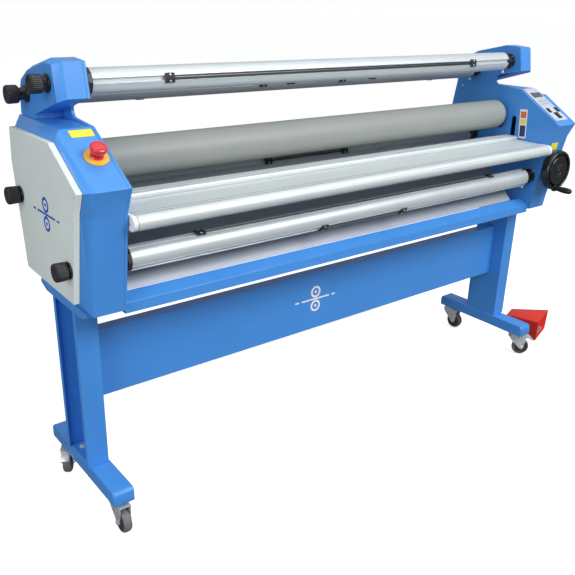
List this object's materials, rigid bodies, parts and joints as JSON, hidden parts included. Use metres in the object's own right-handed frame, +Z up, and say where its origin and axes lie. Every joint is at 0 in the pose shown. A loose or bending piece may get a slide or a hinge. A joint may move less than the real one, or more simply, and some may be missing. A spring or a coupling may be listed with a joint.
{
  "type": "cold roll laminator",
  "caption": "Free-standing wide-format cold roll laminator: two long rollers between sheet-metal side housings, film shafts above and below, feed table, castored stand and a foot switch.",
  "frame": {"origin": "middle of the footprint of machine and foot switch together, on the floor", "axes": "+X along the rollers towards the control panel and foot switch, -Y to the operator's side where the feed table is, +Z up"},
  "size_m": [2.2864, 0.5784, 1.2485],
  "materials": {
    "black_plastic": "moulded",
    "blue_paint": "powder coat, satin",
    "cover_paint": "pale grey-green powder coat",
    "display": "clear window",
    "film_aluminium": "anodised, satin",
    "gloss_black": "moulded, gloss",
    "motor_black": "satin",
    "panel_white": "printed overlay film",
    "roller_silicone": "smooth matt silicone",
    "steel": "machined",
    "stop_red": "moulded",
    "stop_ring": "moulded",
    "switch_red": "gloss paint",
    "table_aluminium": "brushed extrusion",
    "wheel_rubber": "moulded tread",
    "zinc": "bright zinc plate"
  },
  "bodies": {
    "frame": {"left_leg": "blue_paint", "right_leg": "blue_paint", "left_foot_bar": "blue_paint", "right_foot_bar": "blue_paint", "modesty_panel": "blue_paint", "front_beam": "blue_paint", "rear_beam": "blue_paint", "film_tray": "table_aluminium", "left_side_plate": "blue_paint", "right_side_plate": "blue_paint", "left_housing_shell": "blue_paint", "right_housing_shell": "blue_paint", "left_head_shell": "blue_paint", "right_head_shell": "blue_paint", "left_side_cover": "cover_paint", "right_side_cover": "cover_paint", "feed_table": "table_aluminium", "control_panel": "panel_white", "display_window": "display", "emergency_stop_base": "stop_ring", "drive_motor": "motor_black", "upper_front_shaft_seat": "black_plastic", "upper_rear_shaft_seat": "black_plastic", "lower_front_shaft_seat": "black_plastic", "lower_rear_shaft_seat": "black_plastic"},
    "nip_carriage": {"left_bearing_block": "steel", "right_bearing_block": "steel"},
    "top_roller": {"top_roller": "roller_silicone"},
    "lower_roller": {"lower_roller": "roller_silicone"},
    "handwheel": {"handwheel": "gloss_black"},
    "handwheel_grip": {"handwheel_grip": "gloss_black"},
    "hold_down_bar": {"hold_down_bar": "table_aluminium"},
    "emergency_stop_button": {"emergency_stop_button": "stop_red"},
    "forward_rocker": {"forward_rocker": "gloss_black"},
    "reverse_rocker": {"reverse_rocker": "gloss_black"},
    "power_rocker": {"power_rocker": "gloss_black"},
    "foot_switch": {"foot_switch_hood": "switch_red"},
    "foot_switch_pedal": {"foot_switch_pedal": "zinc"},
    "upper_front_shaft": {"upper_front_shaft": "film_aluminium"},
    "upper_front_tension_knob": {"upper_front_tension_knob": "black_plastic"},
    "upper_front_latch_pin": {"upper_front_latch_pin": "zinc"},
    "upper_rear_shaft": {"upper_rear_shaft": "film_aluminium"},
    "upper_rear_tension_knob": {"upper_rear_tension_knob": "black_plastic"},
    "upper_rear_latch_pin": {"upper_rear_latch_pin": "zinc"},
    "lower_front_shaft": {"lower_front_shaft": "film_aluminium"},
    "lower_front_tension_knob": {"lower_front_tension_knob": "black_plastic"},
    "lower_front_latch_pin": {"lower_front_latch_pin": "zinc"},
    "lower_rear_shaft": {"lower_rear_shaft": "film_aluminium"},
    "lower_rear_tension_knob": {"lower_rear_tension_knob": "black_plastic"},
    "lower_rear_latch_pin": {"lower_rear_latch_pin": "zinc"},
    "front_left_castor_fork": {"front_left_castor_fork": "zinc"},
    "front_left_castor_wheel": {"front_left_castor_wheel": "wheel_rubber"},
    "rear_left_castor_fork": {"rear_left_castor_fork": "zinc"},
    "rear_left_castor_wheel": {"rear_left_castor_wheel": "wheel_rubber"},
    "rear_left_brake_pedal": {"rear_left_brake_pedal": "zinc"},
    "front_right_castor_fork": {"front_right_castor_fork": "zinc"},
    "front_right_castor_wheel": {"front_right_castor_wheel": "wheel_rubber"},
    "front_right_brake_pedal": {"front_right_brake_pedal": "zinc"},
    "rear_right_castor_fork": {"rear_right_castor_fork": "zinc"},
    "rear_right_castor_wheel": {"rear_right_castor_wheel": "wheel_rubber"}
  },
  "joints": [
    {"name": "nip_slide", "type": "slide", "parent": "frame", "child": "nip_carriage", "axis": [0, 0, -1], "range_m": [0, 0.035]},
    {"name": "top_roller_spin", "type": "hinge", "parent": "nip_carriage", "child": "top_roller", "pos_m": [-0.1159, 0.04425, 0.9955], "axis": [1, 0, 0], "continuous": true},
    {"name": "lower_roller_spin", "type": "hinge", "parent": "frame", "child": "lower_roller", "pos_m": [-0.1159, 0.04425, 0.854], "axis": [1, 0, 0], "continuous": true},
    {"name": "handwheel_turn", "type": "hinge", "parent": "frame", "child": "handwheel", "pos_m": [0.7891, -0.20575, 0.812], "axis": [0, 1, 0], "range_deg": [0, 720.5]},
    {"name": "handwheel_grip_spin", "type": "hinge", "parent": "handwheel", "child": "handwheel_grip", "pos_m": [0.7831, -0.25575, 0.7445], "axis": [0, 1, 0], "continuous": true},
    {"name": "upper_front_shaft_spin", "type": "hinge", "parent": "frame", "child": "upper_front_shaft", "pos_m": [-0.1159, 0.03425, 1.1925], "axis": [1, 0, 0], "continuous": true},
    {"name": "upper_front_knob_turn", "type": "hinge", "parent": "frame", "child": "upper_front_tension_knob", "pos_m": [-1.0959, 0.03425, 1.1925], "axis": [1, 0, 0], "range_deg": [0, 720]},
    {"name": "upper_front_latch_pull", "type": "slide", "parent": "frame", "child": "upper_front_latch_pin", "axis": [0, 0, -1], "range_m": [0, 0.008], "stiffness_N_per_m": 300, "springref_m": -0.002},
    {"name": "upper_rear_shaft_spin", "type": "hinge", "parent": "frame", "child": "upper_rear_shaft", "pos_m": [-0.1159, 0.18425, 1.1525], "axis": [1, 0, 0], "continuous": true},
    {"name": "upper_rear_knob_turn", "type": "hinge", "parent": "frame", "child": "upper_rear_tension_knob", "pos_m": [-1.0959, 0.18425, 1.1525], "axis": [1, 0, 0], "range_deg": [0, 720]},
    {"name": "upper_rear_latch_pull", "type": "slide", "parent": "frame", "child": "upper_rear_latch_pin", "axis": [0, 0, -1], "range_m": [0, 0.008], "stiffness_N_per_m": 300, "springref_m": -0.002},
    {"name": "lower_front_shaft_spin", "type": "hinge", "parent": "frame", "child": "lower_front_shaft", "pos_m": [-0.1159, -0.12375, 0.779], "axis": [1, 0, 0], "continuous": true},
    {"name": "lower_front_knob_turn", "type": "hinge", "parent": "frame", "child": "lower_front_tension_knob", "pos_m": [-1.0959, -0.12375, 0.779], "axis": [1, 0, 0], "range_deg": [0, 720]},
    {"name": "lower_front_latch_pull", "type": "slide", "parent": "frame", "child": "lower_front_latch_pin", "axis": [0, 0, -1], "range_m": [0, 0.008], "stiffness_N_per_m": 300, "springref_m": -0.002},
    {"name": "lower_rear_shaft_spin", "type": "hinge", "parent": "frame", "child": "lower_rear_shaft", "pos_m": [-0.1159, 0.16525, 0.902], "axis": [1, 0, 0], "continuous": true},
    {"name": "lower_rear_knob_turn", "type": "hinge", "parent": "frame", "child": "lower_rear_tension_knob", "pos_m": [-1.0959, 0.16525, 0.902], "axis": [1, 0, 0], "range_deg": [0, 720]},
    {"name": "lower_rear_latch_pull", "type": "slide", "parent": "frame", "child": "lower_rear_latch_pin", "axis": [0, 0, -1], "range_m": [0, 0.008], "stiffness_N_per_m": 300, "springref_m": -0.002},
    {"name": "hold_down_bar_lift", "type": "slide", "parent": "frame", "child": "hold_down_bar", "axis": [0, 0, 1], "range_m": [0, 0.01]},
    {"name": "emergency_stop_press", "type": "slide", "parent": "frame", "child": "emergency_stop_button", "axis": [0, 0.5135, -0.8581], "range_m": [0, 0.006], "stiffness_N_per_m": 500},
    {"name": "forward_rocker_tilt", "type": "hinge", "parent": "frame", "child": "forward_rocker", "pos_m": [0.7721, -0.14853, 1.0287], "axis": [1, 0, 0], "range_deg": [-6, 6]},
    {"name": "reverse_rocker_tilt", "type": "hinge", "parent": "frame", "child": "reverse_rocker", "pos_m": [0.8221, -0.14853, 1.0287], "axis": [1, 0, 0], "range_deg": [-6, 6]},
    {"name": "power_rocker_tilt", "type": "hinge", "parent": "frame", "child": "power_rocker", "pos_m": [0.7951, -0.17513, 1.01278], "axis": [1, 0, 0], "range_deg": [-6, 6]},
    {"name": "front_left_castor_swivel", "type": "hinge", "parent": "frame", "child": "front_left_castor_fork", "pos_m": [-1.0339, -0.13775, 0.092], "axis": [0, 0, 1], "continuous": true},
    {"name": "front_left_castor_roll", "type": "hinge", "parent": "front_left_castor_fork", "child": "front_left_castor_wheel", "pos_m": [-1.0339, -0.16575, 0.035], "axis": [1, 0, 0], "continuous": true},
    {"name": "rear_left_castor_swivel", "type": "hinge", "parent": "frame", "child": "rear_left_castor_fork", "pos_m": [-1.0339, 0.21025, 0.092], "axis": [0, 0, 1], "continuous": true},
    {"name": "rear_left_castor_roll", "type": "hinge", "parent": "rear_left_castor_fork", "child": "rear_left_castor_wheel", "pos_m": [-1.04874, 0.18651, 0.035], "axis": [0.848, -0.5299, 0], "continuous": true},
    {"name": "rear_left_brake_press", "type": "hinge", "parent": "rear_left_castor_fork", "child": "rear_left_brake_pedal", "pos_m": [-1.0604, 0.16785, 0.083], "axis": [0.848, -0.5299, 0], "range_deg": [0, 12]},
    {"name": "front_right_castor_swivel", "type": "hinge", "parent": "frame", "child": "front_right_castor_fork", "pos_m": [0.8021, -0.13775, 0.092], "axis": [0, 0, 1], "continuous": true},
    {"name": "front_right_castor_roll", "type": "hinge", "parent": "front_right_castor_fork", "child": "front_right_castor_wheel", "pos_m": [0.82386, -0.15537, 0.035], "axis": [0.6293, 0.7771, 0], "continuous": true},
    {"name": "front_right_brake_press", "type": "hinge", "parent": "front_right_castor_fork", "child": "front_right_brake_pedal", "pos_m": [0.84096, -0.16922, 0.083], "axis": [0.6293, 0.7771, 0], "range_deg": [0, 12]},
    {"name": "rear_right_castor_swivel", "type": "hinge", "parent": "frame", "child": "rear_right_castor_fork", "pos_m": [0.8021, 0.21425, 0.092], "axis": [0, 0, 1], "continuous": true},
    {"name": "rear_right_castor_roll", "type": "hinge", "parent": "rear_right_castor_fork", "child": "rear_right_castor_wheel", "pos_m": [0.80503, 0.1864, 0.035], "axis": [0.9945, 0.1045, 0], "continuous": true},
    {"name": "foot_switch_place", "type": "slide", "parent": "frame", "child": "foot_switch", "axis": [1, 0, 0], "range_m": [0, 0.25]},
    {"name": "foot_switch_press", "type": "hinge", "parent": "foot_switch", "child": "foot_switch_pedal", "pos_m": [1.02438, 0.00829, 0.025], "axis": [0.9455, 0.3256, 0], "range_deg": [0, 2.2], "stiffness_Nm_per_rad": 5, "springref_deg": -1.15}
  ],
  "couplings": [
    {"joint": "handwheel_turn", "follows": "nip_slide", "rad_per_m": 359.04}
  ]
}
